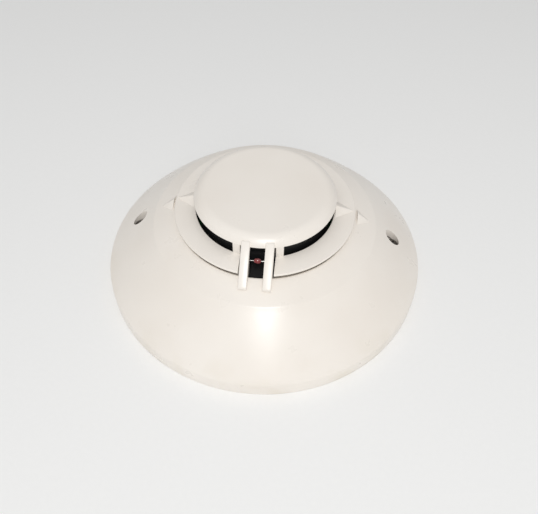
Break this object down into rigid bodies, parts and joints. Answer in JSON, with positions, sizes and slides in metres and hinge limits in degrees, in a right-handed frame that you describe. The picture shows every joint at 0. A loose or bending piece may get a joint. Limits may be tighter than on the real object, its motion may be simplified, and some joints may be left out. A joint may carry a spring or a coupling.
{
  "type": "heat detector",
  "caption": "Ceiling heat detector with a round capped head, a caged bead thermistor at its edge and a conical flanged plug-in base.",
  "frame": {"origin": "centre of the base's ceiling face, in the plane of the flange's back edge", "axes": "+Z out of the ceiling into the room, along the head's axis; -Y towards the thermistor's cage; +X towards the right fixing screw seen from the room"},
  "size_m": [0.155, 0.155, 0.0499],
  "materials": {
    "ivory_plastic": "injection-moulded polycarbonate and ABS blend, satin",
    "black_plastic": "injection-moulded black polycarbonate, matt",
    "dial_plastic": "moulded white nylon, satin",
    "capacitor_sleeve": "shrunk vinyl sleeve over an aluminium can",
    "zinc_steel": "cold-headed steel, bright zinc plated",
    "brass_sheet": "stamped brass, unplated",
    "tinned_metal": "tin-plated, bright",
    "board_laminate": "glass-epoxy laminate under green solder mask",
    "bead_glass": "fused glass bead, red-brown inside",
    "clear_acrylic": "moulded clear acrylic",
    "reed_glass": "drawn glass tube",
    "led_lens": "cast epoxy, diffused"
  },
  "bodies": {
    "base": {"mounting_base": "ivory_plastic", "fixing_screw_left": "zinc_steel", "fixing_screw_right": "zinc_steel", "contact_clip_1": "brass_sheet", "contact_clip_2": "brass_sheet", "contact_clip_3": "brass_sheet", "contact_clip_4": "brass_sheet", "clamp_plate_1": "zinc_steel", "clamp_plate_2": "zinc_steel", "clamp_plate_3": "zinc_steel", "clamp_plate_4": "zinc_steel", "terminal_screw_1": "zinc_steel", "terminal_screw_2": "zinc_steel", "terminal_screw_3": "zinc_steel", "terminal_screw_4": "zinc_steel"},
    "head": {"head_housing": "ivory_plastic", "circuit_board": "board_laminate", "board_screw_1": "zinc_steel", "board_screw_2": "zinc_steel", "board_screw_3": "zinc_steel", "contact_blade_1": "tinned_metal", "contact_blade_2": "tinned_metal", "contact_blade_3": "tinned_metal", "contact_blade_4": "tinned_metal", "address_switch_tens": "black_plastic", "address_switch_ones": "black_plastic", "microcontroller": "black_plastic", "line_capacitor": "capacitor_sleeve", "timing_crystal": "tinned_metal", "surge_suppressor": "black_plastic", "reed_switch": "reed_glass", "inner_shroud": "black_plastic", "status_led_left": "led_lens", "status_led_right": "led_lens", "light_guide_left": "clear_acrylic", "light_guide_right": "clear_acrylic", "thermistor_carrier": "black_plastic", "thermistor_bead": "bead_glass", "thermistor_lead_left": "tinned_metal", "thermistor_lead_right": "tinned_metal"},
    "cover": {"detector_cover": "ivory_plastic"},
    "address_dial_tens": {"address_dial_tens": "dial_plastic"},
    "address_dial_ones": {"address_dial_ones": "dial_plastic"}
  },
  "joints": [
    {"name": "head_twist", "type": "hinge", "parent": "base", "child": "head", "pos_m": [0, 0, 0], "axis": [0, 0, 1], "range_deg": [0, 18]},
    {"name": "cover_lift", "type": "slide", "parent": "head", "child": "cover", "axis": [0, 0, 1], "range_m": [0, 0.03]},
    {"name": "address_tens_turn", "type": "hinge", "parent": "head", "child": "address_dial_tens", "pos_m": [-0.008, 0, 0.0134], "axis": [0, 0, 1], "continuous": true},
    {"name": "address_ones_turn", "type": "hinge", "parent": "head", "child": "address_dial_ones", "pos_m": [0.008, 0, 0.0134], "axis": [0, 0, 1], "continuous": true}
  ]
}
